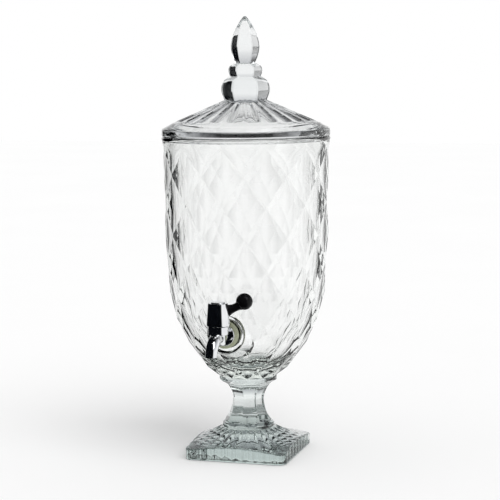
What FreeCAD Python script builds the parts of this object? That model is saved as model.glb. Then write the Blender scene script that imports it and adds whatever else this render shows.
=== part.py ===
import FreeCAD, Part
import math
import os

V = FreeCAD.Vector
UP = V(0, 0, 1)
OUT = V(0, -1, 0)  # the way the tap points
ACROSS = V(1, 0, 0)
AXIS = V(0, 0, 0)

# Foot and stem, mm; profiles give radius or half width, then height, from the bottom up
foot_side = 110.0
foot_corner_r = 9.0
foot_profile = [(80.0, 10.5), (55.0, 15.6), (41.5, 20.8), (28.0, 28.0)]
side_flutes = 8
side_flute_pitch = 11.5
side_flute_r = 14.0
side_flute_depth = 0.9
side_flute_base = 2.0
burst_rays = 24
burst_r = 3.0
burst_start = (28.5, 26.3)  # groove's floor at the ring
burst_finish = (48.0, 18.4)  # where the groove runs out on the foot
ring_r = 27.4
ring_low = 25.0
ring_top = 33.5
ring_round = 2.5
stem_sides = 8
stem_profile = [(30.0, 28.5), (25.6, 33.0), (21.1, 38.6), (18.0, 45.0), (15.9, 55.0), (16.2, 61.4),
                (18.5, 67.9), (22.4, 74.4), (27.6, 78.0), (33.0, 81.0)]
stem_clear_top = 72.0
collar_r = 30.6
collar_low = 78.5
collar_edge = 0.6
collar_t = 3.5
seam_z = 83.5

# Bowl, mm: rows of diamond points from the rim down, alternate rows turned half a pitch
diamonds = 12
rows = [(94.7, 340.0), (87.2, 327.0), (86.6, 298.5), (86.3, 268.0), (86.2, 236.3), (84.8, 204.0),
        (81.9, 172.5), (75.8, 146.0), (62.3, 118.0), (43.4, 93.0), (31.6, seam_z)]
rim_z = 336.0
rim_r = 88.3
rim_bead = 4.4
rim_bead_slope = 1.0
rim_round = 1.8
band_r = 87.6
band_low = 322.0
mouth_r = 81.8
inner_profile = [(80.0, 322.0), (80.0, 240.0), (78.6, 204.0), (75.2, 172.5), (68.6, 146.0), (60.0, 128.0),
                 (48.0, 111.0), (34.0, 101.5), (20.0, 99.0)]

# Seat for the tap, mm from the bowl's axis
tap_z = 139.0
seat_out = 78.0
seat_in = 72.5
boss_face_r = 19.5
boss_base_r = 32.5
boss_base = 45.0
boss_round = 2.0
pocket_face_r = 16.2
pocket_back_r = 21.0
pocket_back = 52.0
shank_hole_r = 8.6

# Lid, mm; the knob's profiles give its corner radius
lid_r = 88.0
lid_edge_top = 342.6
lid_edge_round = 1.5
lid_shoulder = (82.0, 347.8)
lid_hub = (22.0, 373.6)
lid_wall = 7.4
lid_hollow_r = 18.0
lid_under_edge = 337.6  # underside where it meets the skirt
skirt_out = 79.8
skirt_in = 76.0
skirt_drop = 4.4
skirt_edge = 1.0
lid_flutes = 24
flute_spread = 0.336  # flute cutter's radius over its distance from the lid's apex
flute_lift = 0.309  # rise of its axis off the cone over the same distance
flute_straight = 60.0
flute_tail = 10.0
knob_sides = 6
knob_turn = 45.0
bulb_profile = [(21.0, 370.0), (22.6, 373.6), (24.6, 378.0), (26.0, 383.5), (25.4, 389.0), (22.6, 394.0),
                (15.5, 398.6)]
bead_profile = [(14.0, 396.6), (16.8, 398.6), (18.0, 403.0), (17.2, 407.8), (13.0, 411.6)]
flame_profile = [(9.0, 408.0), (10.4, 412.2), (13.4, 419.0), (15.2, 427.5), (14.0, 436.5), (10.6, 445.5),
                 (6.2, 453.4), (1.6, 460.0)]

# Tap, mm: level tube along the seat's axis, upright valve barrel, spout bent down in front
gasket_t = 3.0
gasket_r = 14.2
gasket_hole_r = 8.2
flange_r = 11.0
flange_t = 3.6
flange_round = 1.2
tube_r = 7.0
barrel_y = 102.0
barrel_r = 10.0
barrel_low = 143.0
barrel_top = 151.5
barrel_round = 0.6
well_r = 7.2  # round housing of the plug, under the barrel
well_low = 132.2
well_round = 1.5
spout_turn = 63.0
spout_bend_r = 17.0
spout_start = 109.0
spout_tip = 10.0
spout_root_r = 6.6
spout_end_r = 6.0
outlet_z = 124.2  # spout's end is cut off level here
spout_steps = 6
bore_r = 3.6
spout_bore_end_r = 4.6
shank_r = 8.0
shank_end = 58.0
thread_pitch = 1.5
thread_depth = 0.6
thread_lead = 1.2
thread_turns = 8
thread_fit = 0.03
inner_gasket_t = 2.5
inner_gasket_r = 14.6
washer_t = 1.5
washer_r = 15.0
nut_t = 7.0
nut_across_flats = 24.0

# Valve and handle, mm
chamber_r = 5.5
chamber_low = 133.8
plug_fit = 0.05
plug_low = 134.0
plug_shoulder = 149.3
port_r = 3.0
bonnet_low = 149.5
bonnet_r = 7.5
stem_r = 4.0
stem_fit = 0.06
stem_round_top = 153.0
square_side = 5.4
square_top = 163.3
square_fit = 0.1
seal_heights = {"upper": 147.6, "lower": 144.6}
seal_r = 0.85
seal_fit = 0.03
groove_r = 3.74
groove_half = 0.95
cap_low = 152.0
cap_top = 174.8
cap_low_r = 11.7
cap_top_r = 10.0
cap_wall = 1.6
cap_round = 0.5
web_low = 163.5
web_top = 170.0
hub_r = 5.6
hub_low = 154.0
screw_r = 1.5
screw_hole_r = 1.6
screw_tip = 156.5
head_r = 2.8
head_t = 1.7
head_room_r = 4.0
slot_w = 0.8
slot_deep = 0.9
button_r = 7.2
button_low = 173.0
button_top = 175.8
button_round = 1.0
peg_r = 2.8
peg_in = 5.8
peg_z = 166.8
lever_swing = 22.0  # lever at rest, turned back from square across the tap
ball_reach = 26.4
ball_z = 175.7
ball_r = 8.4
# Neck of the lever: reach from the valve's axis, height, half height and half width
neck_sections = [(8.0, 166.4, 7.0, 4.6), (11.2, 167.0, 5.9, 4.6), (14.0, 168.3, 4.8, 4.4),
                 (16.9, 169.8, 4.5, 4.4), (20.0, 171.6, 4.9, 4.8), (24.0, 173.0, 5.7, 5.6)]

tiny = 1e-6  # an edge shorter than this in one direction is flat in it
clear = 1.0  # by which a cutter stands out past what it cuts


def section(radius, height):
    return V(radius, 0, height)


def curve(points):
    spline = Part.BSplineCurve()
    spline.interpolate(points)
    return spline.toShape()


def chain(points):
    return [Part.makeLine(a, b) for a, b in zip(points, points[1:]) if a != b]


def turned(edges):
    face = Part.Face(Part.Wire(Part.__sortEdges__(edges)))
    return face.revolve(AXIS, UP, 360)


def turned_outline(corners):
    points = [section(*c) for c in corners]
    return turned(chain(points + points[:1]))


# Column of equal curved sides, where the slabs between opposite sides cross
def many_sided(sides, half_widths, turn):
    right = [V(w, 0, z) for w, z in half_widths]
    left = [V(-p.x, 0, p.z) for p in right]
    reach = 2 * max(p.x for p in right)
    edges = [curve(right), curve(left)] + chain([right[0], left[0]]) + chain([right[-1], left[-1]])
    face = Part.Face(Part.Wire(Part.__sortEdges__(edges)))
    face.translate(V(0, -reach, 0))
    column = face.extrude(V(0, 2 * reach, 0))
    column.rotate(AXIS, UP, turn)
    slab = column.copy()
    for _ in range(sides // 2 - 1):
        slab.rotate(AXIS, UP, 360.0 / sides)
        column = column.common(slab)
    return column


def disc(r, y_from, y_to):
    return Part.makeCylinder(r, y_to - y_from, V(0, -y_from, tap_z), OUT)


def ring(r, hole, y_from, y_to):
    return disc(r, y_from, y_to).cut(disc(hole, y_from, y_to))


def upright(r, low, high):
    return Part.makeCylinder(r, high - low, V(0, -barrel_y, low))


def square_post(side, low, high):
    return Part.makeBox(side, side, high - low, V(-side / 2, -barrel_y - side / 2, low))


def level_rims(shape):
    return [e for e in shape.Edges if e.BoundBox.ZLength < tiny]


def outer_rim(shape, y):
    return [e for e in shape.Edges if e.BoundBox.YLength < tiny and abs(e.BoundBox.YMin + y) < tiny]


def side_flute(side, index):
    x = (index - (side_flutes - 1) / 2) * side_flute_pitch
    y = -foot_side / 2 - side_flute_r + side_flute_depth
    flute = Part.makeCylinder(side_flute_r, ring_top, V(x, y, side_flute_base))
    flute.rotate(AXIS, UP, 90.0 * side)
    return flute


def burst_ray(index):
    start, finish = section(*burst_start), section(*burst_finish)
    along = finish - start
    lift = V(-along.z, 0, along.x).normalize() * burst_r
    ray = Part.makeCylinder(burst_r, along.Length, start + lift, along)
    ray.rotate(AXIS, UP, 360.0 / burst_rays * (index + 0.5))
    return ray


def make_foot():
    half = foot_side / 2
    points = [section(*p) for p in foot_profile]
    top, edge = points[-1], points[0]
    dome = turned([curve(points)] + chain([top, V(0, 0, top.z), AXIS, V(edge.x, 0, 0), edge]))
    block = Part.makeBox(foot_side, foot_side, ring_top, V(-half, -half, 0))
    uprights = [e for e in block.Edges if e.BoundBox.ZLength > ring_top / 2]
    foot = dome.common(block.makeFillet(foot_corner_r, uprights))
    cutters = [side_flute(side, k) for side in range(4) for k in range(side_flutes)]
    cutters += [burst_ray(k) for k in range(burst_rays)]
    return foot.cut(cutters)


def make_pedestal():
    stem = many_sided(stem_sides, stem_profile, 180.0 / stem_sides)
    waist = ring_r - ring_round
    rim = collar_r - collar_edge
    limit = turned_outline([(0, ring_low), (ring_r, ring_low), (ring_r, ring_top - ring_round),
                            (waist, ring_top), (waist, stem_clear_top), (collar_r, collar_low),
                            (collar_r, seam_z - collar_edge), (rim, seam_z), (0, seam_z)])
    collar = Part.makeCylinder(rim, collar_t, V(0, 0, seam_z - collar_t))
    base_ring = Part.makeCylinder(ring_r, stem_profile[1][1] - ring_low - ring_round, V(0, 0, ring_low))
    return make_foot().fuse([stem.common(limit), collar, base_ring]).removeSplitter()


def row_points(index):
    r, z = rows[index]
    step = 2 * math.pi / diamonds
    start = -math.pi / 2 + (0 if index % 2 else step / 2)
    return [V(r * math.cos(start + step * k), r * math.sin(start + step * k), z) for k in range(diamonds)]


def facet(corners):
    return Part.Face(Part.makePolygon(corners + corners[:1]))


def make_diamonds():
    faces = [facet(row_points(0)), facet(row_points(len(rows) - 1))]
    for i in range(len(rows) - 1):
        top, low = row_points(i), row_points(i + 1)
        for k in range(diamonds):
            n = (k + 1) % diamonds
            down, up = (n, k) if i % 2 == 0 else (k, n)
            faces.append(facet([top[k], top[n], low[down]]))
            faces.append(facet([low[k], low[n], top[up]]))
    return Part.Solid(Part.Shell(faces))


def make_bowl():
    wide = rim_r + clear
    band = turned_outline([(0, seam_z), (wide, seam_z), (wide, band_low), (band_r, band_low),
                           (band_r, rim_z - rim_bead), (rim_r, rim_z - rim_bead + rim_bead_slope),
                           (rim_r, rim_z - rim_round), (rim_r - rim_round, rim_z), (0, rim_z)])
    boss = Part.makeCone(boss_base_r, boss_face_r, seat_out - boss_base, V(0, -boss_base, tap_z), OUT)
    boss = boss.makeFillet(boss_round, outer_rim(boss, seat_out))
    points = [section(*p) for p in inner_profile]
    floor, lip = points[-1], points[0]
    mouth = [floor, V(0, 0, floor.z), V(0, 0, rim_z), V(mouth_r, 0, rim_z), lip]
    hollow = turned([curve(points)] + chain(mouth))
    depth = seat_in - pocket_back
    pocket = Part.makeCone(pocket_back_r, pocket_face_r, depth, V(0, -pocket_back, tap_z), OUT)
    outside = make_diamonds().common(band).fuse(boss)
    return outside.cut([hollow, pocket, disc(shank_hole_r, pocket_back, seat_out)])


def lid_flute(index, apex, slope):
    lift = math.atan(flute_lift)
    reach = flute_straight / math.cos(lift)
    wide = flute_spread * reach
    cone = Part.makeCone(0, wide, reach, AXIS, ACROSS)
    flute = cone.fuse(Part.makeCylinder(wide, flute_tail, V(reach, 0, 0), ACROSS))
    flute.rotate(AXIS, V(0, 1, 0), math.degrees(math.atan(slope) - lift))
    flute.translate(apex)
    flute.rotate(AXIS, UP, 360.0 / lid_flutes * (index + 0.5))
    return flute


def make_lid():
    slope = (lid_hub[1] - lid_shoulder[1]) / (lid_shoulder[0] - lid_hub[0])
    apex = V(0, 0, lid_hub[1] + slope * lid_hub[0])
    low = rim_z - skirt_drop
    bevel = lid_r - lid_edge_round
    plate = turned_outline([(0, apex.z - slope * lid_hollow_r - lid_wall),
                            (lid_hollow_r, apex.z - slope * lid_hollow_r - lid_wall),
                            (skirt_in, lid_under_edge), (skirt_in, low),
                            (skirt_out - skirt_edge, low), (skirt_out, low + skirt_edge), (skirt_out, rim_z),
                            (bevel, rim_z), (lid_r, rim_z + lid_edge_round),
                            (lid_r, lid_edge_top - lid_edge_round), (bevel, lid_edge_top), lid_shoulder,
                            lid_hub, (0, lid_hub[1])])
    plate = plate.cut([lid_flute(k, apex, slope) for k in range(lid_flutes)])
    inside = math.cos(math.pi / knob_sides)
    steps = []
    for profile in (bulb_profile, bead_profile, flame_profile):
        steps.append(many_sided(knob_sides, [(r * inside, z) for r, z in profile], knob_turn))
    return plate.fuse(steps).removeSplitter()


# Rod along the spout's bend, its radius changing evenly from the barrel to the outlet, with a level end
def spout_rod(start_r, end_r):
    wires = []
    for k in range(spout_steps + 1):
        a = math.radians(spout_turn * k / spout_steps)
        heading = V(0, -math.cos(a), -math.sin(a))
        place = V(0, -spout_start - spout_bend_r * math.sin(a), tap_z - spout_bend_r * (1 - math.cos(a)))
        radius = start_r + (end_r - start_r) * k / spout_steps
        wires.append(Part.Wire(Part.Circle(place, heading, radius).toShape()))
    tip = place + heading * spout_tip
    wires.append(Part.Wire(Part.Circle(tip, heading, end_r).toShape()))
    below = Part.makeCylinder(2 * spout_tip, 2 * spout_tip, V(0, tip.y, outlet_z), -UP)
    return Part.makeLoft(wires, True).cut(below)


def thread_groove(index):
    y = shank_end + thread_lead + thread_pitch * index
    half = thread_pitch / 2
    root = shank_r - thread_depth
    ridge = Part.makeCone(shank_r, root, half, V(0, -y, tap_z), OUT)
    ridge = ridge.fuse(Part.makeCone(root, shank_r, half, V(0, -y - half, tap_z), OUT))
    return disc(shank_r + clear, y, y + thread_pitch).cut(ridge)


def make_tap_body():
    seat = seat_out + gasket_t
    flange = disc(flange_r, seat, seat + flange_t)
    flange = flange.makeFillet(flange_round, outer_rim(flange, seat + flange_t))
    barrel = upright(barrel_r, barrel_low, barrel_top)
    barrel = barrel.makeFillet(barrel_round, level_rims(barrel))
    well = upright(well_r, well_low, barrel_top)
    well = well.makeFillet(well_round, [e for e in level_rims(well) if e.BoundBox.ZMin < barrel_low])
    body = flange.fuse([disc(tube_r, seat, barrel_y), disc(spout_root_r, barrel_y, spout_start), well, barrel,
                        spout_rod(spout_root_r, spout_end_r), disc(shank_r, shank_end, seat)])
    cutters = [disc(bore_r, shank_end, spout_start), spout_rod(bore_r, spout_bore_end_r),
               upright(chamber_r, chamber_low, barrel_top), upright(bonnet_r, bonnet_low, barrel_top)]
    cutters += [thread_groove(k) for k in range(thread_turns)]
    return body.cut(cutters).removeSplitter()


def make_bonnet_ring():
    return upright(bonnet_r, bonnet_low, barrel_top).cut(upright(stem_r + stem_fit, bonnet_low, barrel_top))


def make_plug():
    r = chamber_r - plug_fit
    plug = upright(r, plug_low, plug_shoulder)
    for z in seal_heights.values():
        low, high = z - groove_half, z + groove_half
        plug = plug.cut(upright(r, low, high).cut(upright(groove_r, low, high)))
    round_stem = upright(stem_r, plug_shoulder, stem_round_top)
    plug = plug.fuse([round_stem, square_post(square_side, stem_round_top, square_top)])
    port = Part.makeCylinder(port_r, 2 * r, V(-r, -barrel_y, tap_z), ACROSS)
    return plug.cut([port, upright(screw_r, screw_tip, square_top)])


def make_seal(z):
    return Part.makeTorus(chamber_r - seal_fit - seal_r, seal_r, V(0, -barrel_y, z), UP)


def cap_blank():
    return Part.makeCone(cap_low_r, cap_top_r, cap_top - cap_low, V(0, -barrel_y, cap_low))


def swung(shape):
    shape.rotate(V(0, -barrel_y, 0), UP, lever_swing)
    return shape


def make_peg():
    return swung(Part.makeCylinder(peg_r, cap_low_r - peg_in, V(peg_in, -barrel_y, peg_z), ACROSS))


def make_cap():
    blank = cap_blank()
    cap = blank.makeFillet(cap_round, level_rims(blank))
    taper = (cap_low_r - cap_top_r) / (cap_top - cap_low)
    room_low_r = cap_low_r - cap_wall
    room_top_r = room_low_r - taper * (web_low - cap_low)
    room = Part.makeCone(room_low_r, room_top_r, web_low - cap_low, V(0, -barrel_y, cap_low))
    room = room.cut(upright(hub_r, hub_low, web_low))
    socket = square_post(square_side + 2 * square_fit, hub_low, web_low)
    screw_hole = upright(screw_hole_r, web_low, web_top)
    head_room = upright(head_room_r, web_top, button_low)
    return cap.cut([room, socket, screw_hole, head_room, upright(button_r, button_low, cap_top), make_peg()])


def make_lever():
    wires = []
    for x, z, high, wide in neck_sections:
        centre = V(x, -barrel_y, z)
        ellipse = Part.Ellipse(centre + V(0, 0, high), centre + V(0, wide, 0), centre)
        wires.append(Part.Wire(ellipse.toShape()))
    ball = Part.makeSphere(ball_r, V(ball_reach, -barrel_y, ball_z))
    arm = swung(Part.makeLoft(wires, True).fuse(ball))
    return arm.cut(cap_blank()).fuse(make_peg()).removeSplitter()


def make_screw():
    top = web_top + head_t
    slot = Part.makeBox(2 * head_r, slot_w, slot_deep, V(-head_r, -barrel_y - slot_w / 2, top - slot_deep))
    return upright(screw_r, screw_tip, web_top).fuse(upright(head_r, web_top, top).cut(slot))


def make_button():
    button = upright(button_r, button_low, button_top)
    return button.makeFillet(button_round, [e for e in level_rims(button) if e.BoundBox.ZMin > button_low])


def make_nut(outer_face):
    corner = nut_across_flats / math.sqrt(3)
    angles = [math.pi / 3 * k for k in range(6)]
    points = [V(corner * math.cos(a), -outer_face, tap_z + corner * math.sin(a)) for a in angles]
    nut = facet(points).extrude(V(0, nut_t, 0))
    return nut.cut(disc(shank_r + thread_fit, outer_face - nut_t, outer_face))


washer_face = seat_in - inner_gasket_t
nut_face = washer_face - washer_t

nodes = {
    "pedestal": make_pedestal(),
    "bowl": make_bowl(),
    "lid": make_lid(),
    "tap_body": make_tap_body(),
    "bonnet_ring": make_bonnet_ring(),
    "valve_plug": make_plug(),
    "plug_o_ring_upper": make_seal(seal_heights["upper"]),
    "plug_o_ring_lower": make_seal(seal_heights["lower"]),
    "handle_cap": make_cap(),
    "lever": make_lever(),
    "handle_screw": make_screw(),
    "top_button": make_button(),
    "outer_gasket": ring(gasket_r, gasket_hole_r, seat_out, seat_out + gasket_t),
    "inner_gasket": ring(inner_gasket_r, gasket_hole_r, washer_face, seat_in),
    "inner_washer": ring(washer_r, gasket_hole_r, nut_face, washer_face),
    "lock_nut": make_nut(nut_face),
}

os.makedirs("parts", exist_ok=True)
for name, shape in nodes.items():
    state = "valid" if shape.isValid() else "broken"
    print(name, state, len(shape.Solids), round(shape.Volume / 1000, 2), "cm3")
    shape.exportStep("parts/%s.step" % name)
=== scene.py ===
import bpy
import bmesh
from math import sin, cos, tan, atan2, sqrt, pi, radians
from mathutils import Matrix, Vector
from mathutils.geometry import interpolate_bezier


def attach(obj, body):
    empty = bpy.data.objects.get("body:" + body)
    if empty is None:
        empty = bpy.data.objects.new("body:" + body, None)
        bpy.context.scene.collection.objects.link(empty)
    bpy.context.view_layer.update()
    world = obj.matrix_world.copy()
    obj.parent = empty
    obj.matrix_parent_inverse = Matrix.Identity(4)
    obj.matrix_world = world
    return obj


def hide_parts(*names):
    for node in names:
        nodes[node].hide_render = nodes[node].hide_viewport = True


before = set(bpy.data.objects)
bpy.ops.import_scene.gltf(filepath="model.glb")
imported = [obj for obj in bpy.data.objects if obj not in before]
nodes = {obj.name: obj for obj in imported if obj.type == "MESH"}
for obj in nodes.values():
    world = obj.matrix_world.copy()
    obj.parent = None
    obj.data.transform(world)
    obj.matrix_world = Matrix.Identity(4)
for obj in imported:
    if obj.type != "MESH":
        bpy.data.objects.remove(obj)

mm = 0.001
weld = 0.002 * mm  # points closer than this become one
scene = bpy.context.scene
scene.view_settings.view_transform = "Standard"
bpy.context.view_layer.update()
print("frame loaded", len(nodes), "nodes")

# photo's camera: distance from the urn's axis, height, lens and the small turns, degrees
camera = dict(azimuth=16.8, away=1.671, high=0.4177, lens=114.984,
              down=6.885, lean=0.53, aside=0.108)


def makeCamera(c):
    data = bpy.data.cameras.new("photoCamera")
    data.lens = c["lens"]
    eye = bpy.data.objects.new("photoCamera", data)
    scene.collection.objects.link(eye)
    a = radians(c["azimuth"])
    eye.matrix_world = (Matrix.Translation((c["away"] * sin(a), -c["away"] * cos(a), c["high"]))
                        @ Matrix.Rotation(a - radians(c["aside"]), 4, "Z")
                        @ Matrix.Rotation(pi / 2 - radians(c["down"]), 4, "X")
                        @ Matrix.Rotation(-radians(c["lean"]), 4, "Z"))
    scene.camera = eye


makeCamera(camera)


# finishes: each one is a principled shader with its own grain, in object coordinates

def newFinish(name, **sockets):
    finish = bpy.data.materials.new(name)
    finish.use_nodes = True
    tree = finish.node_tree
    shader = tree.nodes["Principled BSDF"]
    for socket, value in sockets.items():
        shader.inputs[socket.replace("_", " ")].default_value = value
    place = tree.nodes.new("ShaderNodeTexCoord")
    return finish, tree, shader, place.outputs["Object"]


def grain(tree, place, scale, detail=2.0, rough=0.5, warp=0.0):
    noise = tree.nodes.new("ShaderNodeTexNoise")
    noise.inputs["Scale"].default_value = scale
    noise.inputs["Detail"].default_value = detail
    noise.inputs["Roughness"].default_value = rough
    noise.inputs["Distortion"].default_value = warp
    tree.links.new(place, noise.inputs["Vector"])
    return noise.outputs["Fac"]


def spread(tree, value, low, high, start=0.3, stop=0.7):
    ramp = tree.nodes.new("ShaderNodeMapRange")
    ramp.inputs["From Min"].default_value = start
    ramp.inputs["From Max"].default_value = stop
    ramp.inputs["To Min"].default_value = low
    ramp.inputs["To Max"].default_value = high
    tree.links.new(value, ramp.inputs["Value"])
    return ramp.outputs["Result"]


def tones(tree, value, stops):
    ramp = tree.nodes.new("ShaderNodeValToRGB")
    ends = ramp.color_ramp.elements
    while len(ends) < len(stops):
        ends.new(0.5)
    for end, (at, colour) in zip(ends, stops):
        end.position = at
        end.color = (*colour, 1)
    tree.links.new(value, ramp.inputs["Fac"])
    return ramp.outputs["Color"]


def twoTone(tree, value, dark, light, start=0.3, stop=0.7):
    return tones(tree, value, [(start, dark), (stop, light)])


def coat(tree, shader, colour, rough):
    tree.links.new(colour, shader.inputs["Base Color"])
    tree.links.new(rough, shader.inputs["Roughness"])


def bumpy(tree, shader, heights):  # each height: what it follows, strength, depth in metres
    last = None
    for height, strength, deep in heights:
        bump = tree.nodes.new("ShaderNodeBump")
        bump.inputs["Strength"].default_value = strength
        bump.inputs["Distance"].default_value = deep
        tree.links.new(height, bump.inputs["Height"])
        if last:
            tree.links.new(last, bump.inputs["Normal"])
        last = bump.outputs["Normal"]
    tree.links.new(last, shader.inputs["Normal"])


# tint and deep: colour and density of the glass mass; the scales are those of the grain
glass = dict(ior=1.52, tint=(0.908, 0.946, 0.914), deep=20.0,
             cloudScale=24, cloudDark=(0.996, 0.998, 0.997), hazeScale=60, haze=0.02,
             rippleScale=55, ripple=0.015, rippleDeep=0.0012,
             skinScale=420, skin=0.02, skinDeep=0.0002)


def pressedGlass(name, g):
    finish, tree, shader, place = newFinish(name, Transmission_Weight=1.0, IOR=g["ior"])
    cloud = grain(tree, place, g["cloudScale"], detail=3)
    haze = grain(tree, place, g["hazeScale"], detail=4)
    coat(tree, shader, twoTone(tree, cloud, g["cloudDark"], (1, 1, 1)),
         spread(tree, haze, 0, g["haze"], start=0.45, stop=0.75))
    ripple = grain(tree, place, g["rippleScale"], detail=1.5, rough=0.4, warp=0.3)
    skin = grain(tree, place, g["skinScale"])
    bumpy(tree, shader, [(ripple, g["ripple"], g["rippleDeep"]), (skin, g["skin"], g["skinDeep"])])
    soak = tree.nodes.new("ShaderNodeVolumeAbsorption")
    soak.inputs["Color"].default_value = (*g["tint"], 1)
    soak.inputs["Density"].default_value = g["deep"]
    tree.links.new(soak.outputs["Volume"], tree.nodes["Material Output"].inputs["Volume"])
    return finish


plating = dict(dark=(0.80, 0.81, 0.83), light=(0.88, 0.885, 0.89), rough=(0.03, 0.09), hazeScale=90,
               peelScale=260, peel=0.035, peelDeep=0.0004)


def brightChrome(name, g):
    finish, tree, shader, place = newFinish(name, Metallic=1.0)
    haze = grain(tree, place, g["hazeScale"], detail=4)
    coat(tree, shader, twoTone(tree, haze, g["dark"], g["light"], start=0.35),
         spread(tree, haze, *g["rough"]))
    bumpy(tree, shader, [(grain(tree, place, g["peelScale"]), g["peel"], g["peelDeep"])])
    return finish


moulding = dict(cloudScale=120, cloud=0.05, cloudDeep=0.0004, hazeScale=300,
                pebbleScale=1400, pebbleDeep=0.0002)


def mouldedPlastic(name, g, dark, light, rough, pebble, shine=0.5):
    finish, tree, shader, place = newFinish(name, Specular_IOR_Level=shine)
    cloud = grain(tree, place, g["cloudScale"], detail=3)
    haze = grain(tree, place, g["hazeScale"], detail=4)
    coat(tree, shader, twoTone(tree, cloud, dark, light), spread(tree, haze, *rough))
    bumpy(tree, shader, [(grain(tree, place, g["pebbleScale"]), pebble, g["pebbleDeep"]),
                         (cloud, g["cloud"], g["cloudDeep"])])
    return finish


turning = dict(ringScale=500, waver=3, ring=0.05, ringDeep=0.0001, cloudScale=200)


def turnedMetal(name, g, dark, light, rough):
    finish, tree, shader, place = newFinish(name, Metallic=1.0)
    wave = tree.nodes.new("ShaderNodeTexWave")
    wave.wave_type = "RINGS"
    wave.inputs["Scale"].default_value = g["ringScale"]
    wave.inputs["Distortion"].default_value = g["waver"]
    tree.links.new(place, wave.inputs["Vector"])
    rings = wave.outputs["Fac"]
    cloud = grain(tree, place, g["cloudScale"], detail=4)
    coat(tree, shader, twoTone(tree, cloud, dark, light),
         spread(tree, rings, *rough, start=0, stop=1))
    bumpy(tree, shader, [(rings, g["ring"], g["ringDeep"])])
    return finish


bowlGlass = pressedGlass("bowlGlass", glass)
footGlass = pressedGlass("footGlass", dict(glass, tint=(0.74, 0.805, 0.79)))
lidGlass = pressedGlass("lidGlass", dict(glass, tint=(0.87, 0.895, 0.90)))
chrome = brightChrome("brightChrome", plating)
blackPlastic = mouldedPlastic("glossBlackPlastic", moulding, dark=(0.0015, 0.0015, 0.0018),
                              light=(0.0035, 0.0035, 0.004), rough=(0.16, 0.28), pebble=0.02,
                              shine=0.14)
creamSilicone = mouldedPlastic("creamSilicone", moulding, dark=(0.35, 0.37, 0.245),
                               light=(0.45, 0.475, 0.35), rough=(0.38, 0.55), pebble=0.06)
sealRubber = mouldedPlastic("sealRubber", moulding, dark=(0.012, 0.012, 0.012),
                            light=(0.03, 0.03, 0.03), rough=(0.5, 0.7), pebble=0.08)
nutPlastic = mouldedPlastic("milkyNutPlastic", moulding, dark=(0.66, 0.66, 0.62),
                            light=(0.76, 0.76, 0.73), rough=(0.3, 0.45), pebble=0.04)
brass = turnedMetal("turnedBrass", turning, dark=(0.60, 0.44, 0.18), light=(0.74, 0.57, 0.27),
                    rough=(0.18, 0.34))
steel = turnedMetal("turnedSteel", turning, dark=(0.52, 0.53, 0.54), light=(0.66, 0.67, 0.68),
                    rough=(0.2, 0.36))
print("finishes mixed")


# modelling helpers: outlines are (radius, height) in mm

def flowing(knots, cuts):  # smooth line through every knot
    line = []
    ends = [knots[0], *knots, knots[-1]]
    for a, b, c, d in zip(ends, ends[1:], ends[2:], ends[3:]):
        a, b, c, d = [Vector((*p, 0)) for p in (a, b, c, d)]
        line += interpolate_bezier(b, b + (c - a) / 6, c - (d - b) / 6, c, cuts + 2)[:-1]
    line.append(Vector((*knots[-1], 0)))
    return [(p.x, p.y) for p in line]


def softened(corners, cuts=3):  # third number of a corner is its rounding
    line = []
    for i, corner in enumerate(corners):
        p = Vector((corner[0], corner[1], 0))
        if len(corner) < 3:
            line.append(p)
            continue
        a = (Vector((*corners[i - 1][:2], 0)) - p).normalized()
        b = (Vector((*corners[i + 1][:2], 0)) - p).normalized()
        half = a.angle(b) / 2
        run = corner[2] / tan(half)
        pull = corner[2] * 4 / 3 * tan((pi - 2 * half) / 4)
        start, finish = p + a * run, p + b * run
        line += interpolate_bezier(start, start - a * pull, finish - b * pull, finish, cuts + 2)
    return [(p.x, p.y) for p in line]


def spun(outline, steps, place=None, parts=12):  # one sector is spun, then copied round
    bm = bmesh.new()
    points = [bm.verts.new((r * mm, 0, z * mm)) for r, z in outline]
    lines = [bm.edges.new(pair) for pair in zip(points, points[1:])]
    sector = 2 * pi / parts
    bmesh.ops.spin(bm, geom=points + lines, cent=(0, 0, 0), axis=(0, 0, 1),
                   angle=sector, steps=steps // parts)
    bmesh.ops.spin(bm, geom=bm.verts[:] + bm.edges[:] + bm.faces[:], cent=(0, 0, 0), axis=(0, 0, 1),
                   angle=2 * pi - sector, steps=parts - 1, use_duplicate=True)
    bmesh.ops.remove_doubles(bm, verts=bm.verts, dist=weld)
    bmesh.ops.recalc_face_normals(bm, faces=bm.faces)
    for face in bm.faces:
        face.smooth = True
    if place:
        bmesh.ops.transform(bm, matrix=place, verts=bm.verts)
    return bm


def hoop(bm, sides, radius, place):  # closed ring of edges
    made = bmesh.ops.create_circle(bm, segments=sides, radius=radius * mm, matrix=place)
    return list({edge for vert in made["verts"] for edge in vert.link_edges})


def level(z):
    return Matrix.Translation((0, 0, z * mm))


def crisp(bm, degrees):  # edges that bend more than this keep a clean line
    for edge in bm.edges:
        if edge.calc_face_angle(0) > radians(degrees):
            edge.smooth = False


# reach, at one angle, of a section whose sides meet in soft corners
def sided(angle, apothem, sides, first, soft):
    step = 2 * pi / sides
    off = (angle - first + step / 2) % step - step / 2
    return apothem * (cos(off) ** soft + cos(step - abs(off)) ** soft) ** (-1 / soft)


def looseObject(bm, name):
    mesh = bpy.data.meshes.new(name)
    bm.to_mesh(mesh)
    bm.free()
    thing = bpy.data.objects.new(name, mesh)
    scene.collection.objects.link(thing)
    return thing


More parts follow.
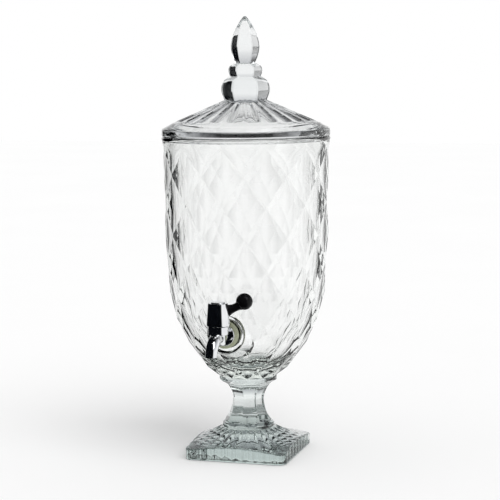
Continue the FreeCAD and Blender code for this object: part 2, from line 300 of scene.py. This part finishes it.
def carve(bm, tool, how):  # union or difference of two closed shapes
    work, cutter = looseObject(bm, "work"), looseObject(tool, "cutter")
    step = work.modifiers.new("carve", "BOOLEAN")
    step.operation, step.solver, step.object = how, "EXACT", cutter
    ready = work.evaluated_get(bpy.context.evaluated_depsgraph_get())
    made = bmesh.new()
    made.from_mesh(ready.to_mesh())
    ready.to_mesh_clear()
    for thing in (work, cutter):
        mesh = thing.data
        bpy.data.objects.remove(thing)
        bpy.data.meshes.remove(mesh)
    return made


def addPiece(name, bm, body, slot, finish, *stands):
    piece = looseObject(bm, name)
    piece.data.materials.append(finish)
    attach(piece, body)
    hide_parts(*stands)
    print("made", name, len(piece.data.polygons), "faces")


# bowl: rows of diamond points, alternate rows turned half a pitch
# boss and pocket are (radius, distance out along the tap), and crease is in degrees
bowl = dict(
    diamonds=12,
    rows=[(87.2, 327.0), (86.6, 298.5), (86.3, 268.0), (86.2, 236.3), (84.8, 204.0), (81.9, 172.5),
          (75.8, 146.0), (62.3, 118.0), (43.4, 93.0), (31.6, 83.52)],
    cuts=7, dish=0.8, ridge=0.6, ridgeSteps=3,
    rim=[(87.6, 331.0), (87.6, 331.8, 0.5), (88.25, 332.8, 0.5), (88.25, 336.0, 1.8),
         (84.0, 336.0)],
    rimAround=96,
    inside=[(20.0, 99.0), (34.0, 101.5), (48.0, 111.0), (60.0, 128.0), (68.6, 146.0), (75.2, 172.5),
            (78.6, 204.0), (80.0, 240.0), (80.0, 322.0)],
    lip=[(81.5, 333.4), (81.9, 334.9), (82.8, 335.8), (84.4, 336.7)],
    overRim=[(84.4, 339.0), (0, 339.0)],
    insideCuts=5, insideAround=144,
    tapHigh=139,
    boss=[(0, 45.0), (32.5, 45.0), (19.5, 78.0, 2.0), (0, 78.0)],
    pocket=[(0, 50.0), (27.5, 50.0), (17.6, 72.5), (8.6, 72.5), (8.6, 80.0), (0, 80.0)],
    bossCuts=5, bossAround=96, crease=25)


def dishing(v, b):  # 0 on the ridges, 1 in the middle of a diamond
    heights = [z for r, z in b["rows"]]
    z = v.co.z / mm
    i = max(k for k in range(len(heights) - 1) if k == 0 or heights[k] >= z)
    row = i + (heights[i] - z) / (heights[i] - heights[i + 1])
    turn = atan2(v.co.y, v.co.x) * b["diamonds"] / (2 * pi)
    u, w = (turn + row / 2) % 1, (turn - row / 2) % 1
    ends = min(1, max(0, 2 * row), max(0, 2 * (len(heights) - 1 - row)))
    return 16 * u * (1 - u) * w * (1 - w) * ends


def makeBowl(b):
    bm = bmesh.new()
    loops = []
    for i, (r, z) in enumerate(b["rows"]):
        turn = Matrix.Rotation(pi / b["diamonds"] * (i % 2), 4, "Z")
        loops.append(hoop(bm, b["diamonds"], r, level(z) @ turn))
    for upper, lower in zip(loops, loops[1:]):
        bmesh.ops.bridge_loops(bm, edges=upper + lower)
    bmesh.ops.triangulate(bm, faces=bm.faces, quad_method="SHORT_EDGE")
    flat = [e for loop in loops[1:-1] for e in loop]
    bmesh.ops.dissolve_edges(bm, edges=flat, use_verts=False)
    for e in bm.edges:
        e.seam = not e.is_boundary  # the slanting lines between the diamonds
    bmesh.ops.subdivide_edges(bm, edges=bm.edges, cuts=b["cuts"], use_grid_fill=True)

    widest = b["rows"][0][0] * mm
    top, second, foot = [b["rows"][i][1] * mm for i in (0, 1, -1)]
    for v in bm.verts:
        reach = v.co.xy.length
        rise = max(0, (v.co.z - second) / (top - second))
        swell = (widest - reach) * rise ** 2  # the top row meets the round band
        v.co.xy *= 1 + (swell - b["dish"] * mm * dishing(v, b)) / reach

    edge = [e for e in bm.edges if e.is_boundary and e.verts[0].co.z > top - mm]
    base = [e for e in bm.edges if e.is_boundary and e.verts[0].co.z < foot + mm]
    for r, z in softened(b["rim"]):  # plain band, bead and top of the rim
        ring = hoop(bm, b["rimAround"], r, level(z))
        bmesh.ops.bridge_loops(bm, edges=edge + ring)
        edge = ring
    bmesh.ops.edgeloop_fill(bm, edges=edge)
    bmesh.ops.edgeloop_fill(bm, edges=base)
    bmesh.ops.recalc_face_normals(bm, faces=bm.faces)

    ridges = [e for e in bm.edges if e.seam]
    soft = bmesh.ops.bevel(bm, geom=ridges, offset=b["ridge"] * mm, offset_type="OFFSET",
                           affect="EDGES", segments=b["ridgeSteps"], profile=0.5, material=-1)
    rounded = set(soft["faces"])
    for face in bm.faces:
        face.smooth = True
    for e in bm.edges:
        e.seam = False
        e.smooth = len([f for f in e.link_faces if f in rounded]) != 1

    tapPlace = level(b["tapHigh"]) @ Matrix.Rotation(pi / 2, 4, "X")  # local Z is the tap's way out
    boss = spun(softened(b["boss"], b["bossCuts"]), b["bossAround"], tapPlace)
    wall = flowing(b["inside"], b["insideCuts"])
    hollow = spun([(0, b["inside"][0][1])] + wall + b["lip"] + b["overRim"], b["insideAround"])
    pocket = spun(b["pocket"], b["bossAround"], tapPlace)
    for tool, how in ((boss, "UNION"), (hollow, "DIFFERENCE"), (pocket, "DIFFERENCE")):
        bm = carve(bm, tool, how)
    crisp(bm, b["crease"])
    addPiece("diamondBowl", bm, "dispenser", "clear_glass", bowlGlass, "bowl")


makeBowl(bowl)


# lid: one spun skin, whose cone is pressed into flutes and whose knob into six sides
# coneOuter and conePace are in tenths of a mm, so that the rings fall evenly
lid = dict(
    under=[(0, 367.9), (18.0, 367.9, 6.0), (71.5, 345.2, 2.0), (71.5, 341.4), (74.5, 338.4),
           (74.5, 331.6, 1.2), (79.8, 331.6, 1.2), (79.8, 336.04, 0.8), (88.0, 336.04, 1.5),
           (88.0, 343.8, 2.5), (78.0, 349.52)],
    coneOuter=770, conePace=9, apex=383.06, slope=0.43, hub=23.0, morph=34.0,
    flutes=24, spread=0.330, lift=0.309, straight=69.0,
    bulb=[(23.6, 376.0), (24.9, 379.0), (26.0, 383.5), (25.4, 389.0), (22.6, 394.0), (16.4, 398.2)],
    bead=[(16.4, 398.2), (18.0, 403.0), (17.2, 407.8), (12.6, 411.0)],
    flame=[(10.2, 411.6), (13.2, 418.6), (15.2, 427.5), (14.0, 436.5), (10.6, 445.5), (6.2, 453.4),
           (1.4, 459.6)],
    tip=[(0.8, 459.9), (0, 460.0)],
    bulbCuts=4, beadCuts=3, flameCuts=6,
    knobSides=6, knobBase=22.9, knobFacet=45.0, knobSoft=30, around=288, crease=28)


def knobReach(angle, corner, d):  # corner is the reach of a sharp corner
    apothem = corner * cos(pi / d["knobSides"])
    return sided(angle, apothem, d["knobSides"], radians(d["knobFacet"]), d["knobSoft"])


def makeLid(d):
    plate = softened(d["under"])
    hub = round(d["hub"] * 10)
    cone = [(tenths / 10, 0) for tenths in range(d["coneOuter"], hub - 1, -d["conePace"])]
    knob = flowing(d["bulb"], d["bulbCuts"]) + flowing(d["bead"], d["beadCuts"])[1:]
    knob += flowing(d["flame"], d["flameCuts"]) + d["tip"]
    rings = plate + cone + knob
    numbered = [(r, i) for i, (r, z) in enumerate(rings)]  # heights hold the ring's number for now
    bm = spun(numbered, d["around"])
    coneStart, knobStart = len(plate), len(plate) + len(cone)
    pitch = 2 * pi / d["flutes"]
    for v in bm.verts:
        i = round(v.co.z / mm)
        r, z = rings[i]
        angle = atan2(v.co.y, v.co.x)
        if coneStart <= i < knobStart:
            near = max(0, (d["morph"] - r) / (d["morph"] - d["hub"])) ** 2
            r += (knobReach(angle, d["knobBase"], d) - d["hub"]) * near
            off = (angle % pitch) - pitch / 2
            wide = d["spread"] * min(r, d["straight"])
            deep = sqrt(max(0, wide * wide - (r * sin(off)) ** 2)) - d["lift"] * r
            z = d["apex"] - d["slope"] * r - max(0, deep)
        elif i >= knobStart:
            r = knobReach(angle, r, d)
        v.co = (r * cos(angle) * mm, r * sin(angle) * mm, z * mm)
    bmesh.ops.recalc_face_normals(bm, faces=bm.faces)
    crisp(bm, d["crease"])
    addPiece("flutedLid", bm, "lid", "lid_glass", lidGlass, "lid")


makeLid(lid)


# pedestal: one spun skin, moved out to the square foot, the rayed dome, the eight-sided stem
# and the collar
# the foot's rounding: lowEdge is (inset, height), topEdge is (inset, drop under the dome)
# under is in shares of the way out, and blank is the radius of a ring before it is moved
pedestal = dict(
    half=55.0, corner=9.0, under=(0, 0.2, 0.4, 0.6, 0.8, 0.93),
    lowEdge=[(1.0, 0.0), (0.3, 0.3), (0.0, 1.0)], edge=0.9, topEdge=[(0.35, 0.3), (0.9, 0)],
    flutes=8, pitch=11.5, fluteR=14.0, fluteDeep=0.9, fluteBase=2.0, fluteRise=0.35, wallRings=10,
    dome=[(28.0, 28.0), (41.5, 20.8), (55.0, 15.6), (80.0, 10.5)], domeRings=46,
    rays=24, rayDeep=1.5, rayFrom=28.5, rayTo=68.0, rayStart=2.5,
    ring=27.4, ringLow=30.5, ringTop=33.5, ringSoft=2.5,
    stem=[(30.0, 28.5), (25.6, 33.0), (21.1, 38.6), (18.0, 45.0), (15.9, 55.0), (16.2, 61.4),
          (18.5, 67.9), (22.4, 74.4), (27.6, 78.0), (33.0, 81.0)],
    stemLow=29.4, stemCuts=11, stemSides=8, stemFacet=22.5, stemSoft=90,
    clearTop=72.0, collar=30.6, collarLow=78.5,
    shoulder=[(30.6, 82.4), (30.4, 83.1)], seam=83.46, seat=(29.9, 20, 10, 0),
    blank=60, around=384, crease=30)


def footEdge(angle, p, fluted):  # point on the square's outline, evenly paced along it
    quarter = round(angle / (pi / 2))
    along = (angle - quarter * pi / 2) / (pi / 4)
    straight = p["half"] - p["corner"]
    run = abs(along) * (straight + p["corner"] * pi / 4)
    if run <= straight:
        off = (run / p["pitch"]) % 1 - 0.5
        groove = sqrt(p["fluteR"] ** 2 - (off * p["pitch"]) ** 2) - p["fluteR"] + p["fluteDeep"]
        reached = fluted and run < p["pitch"] * p["flutes"] / 2
        x, y = p["half"] - (max(0, groove) if reached else 0), run
    else:
        bend = (run - straight) / p["corner"]
        x, y = straight + p["corner"] * cos(bend), straight + p["corner"] * sin(bend)
    spot = Vector((x, y if along >= 0 else -y, 0))
    return Matrix.Rotation(quarter * pi / 2, 3, "Z") @ spot


def drawnIn(spot, inset):
    return spot * (1 - inset / spot.length)


def domeHeight(r, p):  # cubic through the four knots
    total = 0
    for knot, share in p["dome"]:
        for other in [reach for reach, z in p["dome"] if reach != knot]:
            share *= (r - other) / (knot - other)
        total += share
    return total


def rayDepth(r, angle, p):  # hollow rays side by side, dying out towards the edge
    start = min(1, max(0, r - p["rayFrom"]) / p["rayStart"])
    fade = max(0, (p["rayTo"] - r) / (p["rayTo"] - p["rayFrom"]))
    off = angle * p["rays"] / (2 * pi) % 1 * 2 - 1
    return p["rayDeep"] * start * fade * (1 - off * off)


def stemLimit(z, p):  # the widest that the stem may be at this height
    low = p["ringTop"] - p["ringSoft"]
    waist = p["ring"] - p["ringSoft"]
    if z < low:
        return p["ring"]
    if z < p["ringTop"]:
        return waist + sqrt(max(0, 1 - ((z - low) / p["ringSoft"]) ** 2)) * p["ringSoft"]
    if z < p["clearTop"]:
        return waist
    rise = (z - p["clearTop"]) * (p["collar"] - waist)
    return min(p["collar"], waist + rise / (p["collarLow"] - p["clearTop"]))


def pedestalSpot(kind, n, angle, p):
    if kind == "under":
        return footEdge(angle, p, False) * n[0]
    if kind == "lowEdge":
        spot = drawnIn(footEdge(angle, p, False), n[0])
        spot.z = n[1]
        return spot
    if kind == "wall":
        spot = footEdge(angle, p, True)
        low = p["fluteBase"] + p["fluteRise"]
        high = domeHeight(spot.length, p) - p["edge"]
        spot.z = low + (high - low) * n[0]
        return spot
    if kind == "topEdge":
        spot = drawnIn(footEdge(angle, p, True), n[0])
        spot.z = domeHeight(spot.length, p) - n[1]
        return spot
    if kind == "dome":
        ring = Vector((cos(angle), sin(angle), 0)) * p["ring"]
        spot = drawnIn(footEdge(angle, p, True), p["edge"]).lerp(ring, n[0])
        spot.z = domeHeight(spot.length, p) - rayDepth(spot.length, atan2(spot.y, spot.x), p)
        return spot
    r, z = n
    if kind == "stem" and z < p["ringLow"]:
        r = p["ring"]
    elif kind == "stem":
        r = sided(angle, r, p["stemSides"], radians(p["stemFacet"]), p["stemSoft"])
        r = min(r, stemLimit(z, p))
    return Vector((r * cos(angle), r * sin(angle), z))


def makePedestal(p):
    rings = [("under", share) for share in p["under"]]
    rings += [("lowEdge", *n) for n in p["lowEdge"]] + [("lowEdge", 0, p["fluteBase"])]
    rings += [("wall", i / p["wallRings"]) for i in range(p["wallRings"] + 1)]
    rings += [("topEdge", *n) for n in p["topEdge"]]
    rings += [("dome", i / p["domeRings"]) for i in range(1, p["domeRings"] + 1)]
    line = flowing(p["stem"], p["stemCuts"])
    start = max(i for i, (a, z) in enumerate(line) if z < p["stemLow"])
    rings += [("stem", *n) for n in line[start:]]
    rings += [("top", *n) for n in p["shoulder"]] + [("top", r, p["seam"]) for r in p["seat"]]
    last = len(rings) - 1
    bm = spun([(0 if i in (0, last) else p["blank"], i) for i in range(len(rings))], p["around"])
    for v in bm.verts:
        kind, *n = rings[round(v.co.z / mm)]
        v.co = pedestalSpot(kind, n, atan2(v.co.y, v.co.x), p) * mm
    bmesh.ops.recalc_face_normals(bm, faces=bm.faces)
    crisp(bm, p["crease"])
    addPiece("rayedPedestal", bm, "dispenser", "foot_glass", footGlass, "pedestal")


makePedestal(pedestal)


# the CAD nodes that stay get their finish here
kept = dict(tap_body=chrome, handle_cap=chrome, top_button=chrome, bonnet_ring=chrome,
            lever=blackPlastic, outer_gasket=creamSilicone, inner_gasket=creamSilicone,
            inner_washer=steel, handle_screw=steel, lock_nut=nutPlastic, valve_plug=brass,
            plug_o_ring_upper=sealRubber, plug_o_ring_lower=sealRubber)
for name, finish in kept.items():
    for spot in nodes[name].material_slots:
        spot.material = finish
print("kept nodes finished", len(kept))


# studio: white sweep, soft key, dark cloths that only the glass or only the metal can see
# a cloth: who sees it, bearing of the view it stands straight behind, half width in degrees, cover,
# softness of its ends, then reach and height of its lower and upper hem in metres
# the same sideCloths hang at each of the sides, for the glass
studio = dict(
    fill=0.72, key=1.26, keyTurn=(38, 0, 52), keySoft=45,
    canopy=[(0.13, (1, 1, 1)), (0.45, (0.6, 0.61, 0.63)), (0.8, (0.12, 0.123, 0.13)),
            (0.92, (0.004, 0.004, 0.005))],
    floor=0.95, floorMottle=0.01, floorScale=3, floorHalf=6, floorDrop=0.4, glow=0.25,
    clothDark=(0.002, 0.002, 0.003), clothLight=(0.004, 0.005, 0.007), clothScale=30, clothSteps=20,
    cloths=[("glass", 5, 10, 0.14, 1.0, (1, 0.01), (1, 1.2)),
            ("glass", 31, 11, 0.18, 1.0, (1, 0.01), (1, 1.2)),
            ("glass", 54, 10, 0.35, 1.0, (1, 0.01), (1, 1.2)),
            ("glass", 57, 10, 0.75, 0.80, (1, 0.42), (1, 0.75)),
            ("glass", 70.5, 12.5, 0.97, 0.3, (1, 0.01), (1, 1.2)),
            ("glass", 334, 10, 1.0, 0.35, (1, 0.01), (1, 0.45)),
            ("glass", 343, 18, 1.0, 0.35, (1, 0.45), (1, 1.2)),
            ("glass", 352, 10, 0.25, 1.0, (1, 0.12), (1, 0.45)),
            ("glass", 164, 74, 0.90, 0.15, (1, 0.45), (1, 2.4)),
            ("metal", 138, 98, 1.0, 0.1, (1, 0.003), (1, 2.4)),
            ("metal", 138, 98, 1.0, 0.1, (0.115, 0.003), (1, 0.003))],
    sides=[112.5, 157.5, 202.5, 247.5, 292.5],
    sideCloths=[(14, 0.26, 0.80, (1, 0.01), (1, 0.25)), (14, 0.72, 0.80, (1, 0.25), (1, 1.2))])


def rayKinds(tree, *kinds):  # 1 for a ray of any of these kinds
    path = tree.nodes.new("ShaderNodeLightPath")
    seen = path.outputs[kinds[0]]
    for kind in kinds[1:]:
        both = tree.nodes.new("ShaderNodeMath")
        both.operation = "MAXIMUM"
        tree.links.new(seen, both.inputs[0])
        tree.links.new(path.outputs[kind], both.inputs[1])
        seen = both.outputs[0]
    return seen


def blend(tree, share, a, b):
    mix = tree.nodes.new("ShaderNodeMix")
    mix.data_type = "RGBA"
    tree.links.new(share, mix.inputs["Factor"])
    for socket, value in (("A", a), ("B", b)):
        if isinstance(value, (int, float)):
            mix.inputs[socket].default_value = (value, value, value, 1)
        else:
            tree.links.new(value, mix.inputs[socket])
    return mix.outputs["Result"]


def makeRoom(s):
    world = bpy.data.worlds.new("whiteSweep")
    scene.world = world
    world.use_nodes = True
    tree = world.node_tree
    place = tree.nodes.new("ShaderNodeTexCoord")
    rise = tree.nodes.new("ShaderNodeSeparateXYZ")
    tree.links.new(place.outputs["Generated"], rise.inputs[0])
    canopy = tones(tree, rise.outputs["Z"], s["canopy"])  # white low down, near black overhead
    room = blend(tree, rayKinds(tree, "Is Glossy Ray", "Is Transmission Ray"), s["fill"], canopy)
    room = blend(tree, rayKinds(tree, "Is Camera Ray"), room, 1)
    tree.links.new(room, tree.nodes["Background"].inputs["Color"])

    key = bpy.data.lights.new("softKey", "SUN")
    key.energy = s["key"]
    key.angle = radians(s["keySoft"])
    lamp = bpy.data.objects.new("softKey", key)
    scene.collection.objects.link(lamp)
    lamp.rotation_euler = [radians(a) for a in s["keyTurn"]]


def palePaper(name, s):  # metal and glass see some of it as a white glow
    finish, tree, shader, place = newFinish(name, Roughness=0.9, Specular_IOR_Level=0.0)
    dark, light = [(c, c, c) for c in (s["floor"], s["floor"] + s["floorMottle"])]
    mottle = twoTone(tree, grain(tree, place, s["floorScale"]), dark, light)
    tree.links.new(mottle, shader.inputs["Base Color"])
    glow = tree.nodes.new("ShaderNodeEmission")
    mix = tree.nodes.new("ShaderNodeMixShader")
    share = rayKinds(tree, "Is Glossy Ray", "Is Transmission Ray")
    tree.links.new(spread(tree, share, 0, s["glow"], start=0, stop=1), mix.inputs["Fac"])
    tree.links.new(shader.outputs[0], mix.inputs[1])
    tree.links.new(glow.outputs[0], mix.inputs[2])
    tree.links.new(mix.outputs[0], tree.nodes["Material Output"].inputs["Surface"])
    return finish


def layFloor(s):
    bm = bmesh.new()
    bmesh.ops.create_grid(bm, x_segments=2, y_segments=2, size=s["floorHalf"])
    bmesh.ops.translate(bm, verts=bm.verts, vec=(0, 0, -s["floorDrop"] * mm))
    floor = looseObject(bm, "paleFloor")
    floor.data.materials.append(palePaper("palePaper", s))


def darkCloth(name, s):
    finish, tree, shader, place = newFinish(name, Roughness=1.0, Specular_IOR_Level=0.0)
    cloud = grain(tree, place, s["clothScale"])
    mottle = twoTone(tree, cloud, s["clothDark"], s["clothLight"])
    tree.links.new(mottle, shader.inputs["Base Color"])
    weave = tree.nodes.new("ShaderNodeAttribute")
    weave.attribute_name = "weave"
    tree.links.new(weave.outputs["Fac"], shader.inputs["Alpha"])
    return finish


def hangCloth(cloth, steps, finish):
    seenBy, bearing, half, cover, soft, lower, upper = cloth
    bm = bmesh.new()
    bmesh.ops.create_grid(bm, x_segments=steps, y_segments=1, size=1)
    weave = bm.verts.layers.float.new("weave")
    for v in bm.verts:
        v[weave] = cover * min(1, (1 - abs(v.co.x)) / soft)
        a = radians(bearing + v.co.x * half)
        reach, z = lower if v.co.y < 0 else upper
        v.co = (-sin(a) * reach, cos(a) * reach, z)
    hung = looseObject(bm, seenBy + "Cloth")
    hung.data.materials.append(finish)
    hung.visible_camera = hung.visible_diffuse = hung.visible_shadow = False
    hung.visible_glossy = seenBy == "metal"
    hung.visible_transmission = seenBy == "glass"


def makeStudio(s):
    makeRoom(s)
    layFloor(s)
    finish = darkCloth("darkCloth", s)
    beside = [("glass", side, *rest) for side in s["sides"] for rest in s["sideCloths"]]
    cloths = s["cloths"] + beside
    for cloth in cloths:
        hangCloth(cloth, s["clothSteps"], finish)
    print("studio set", len(cloths), "cloths")


makeStudio(studio)
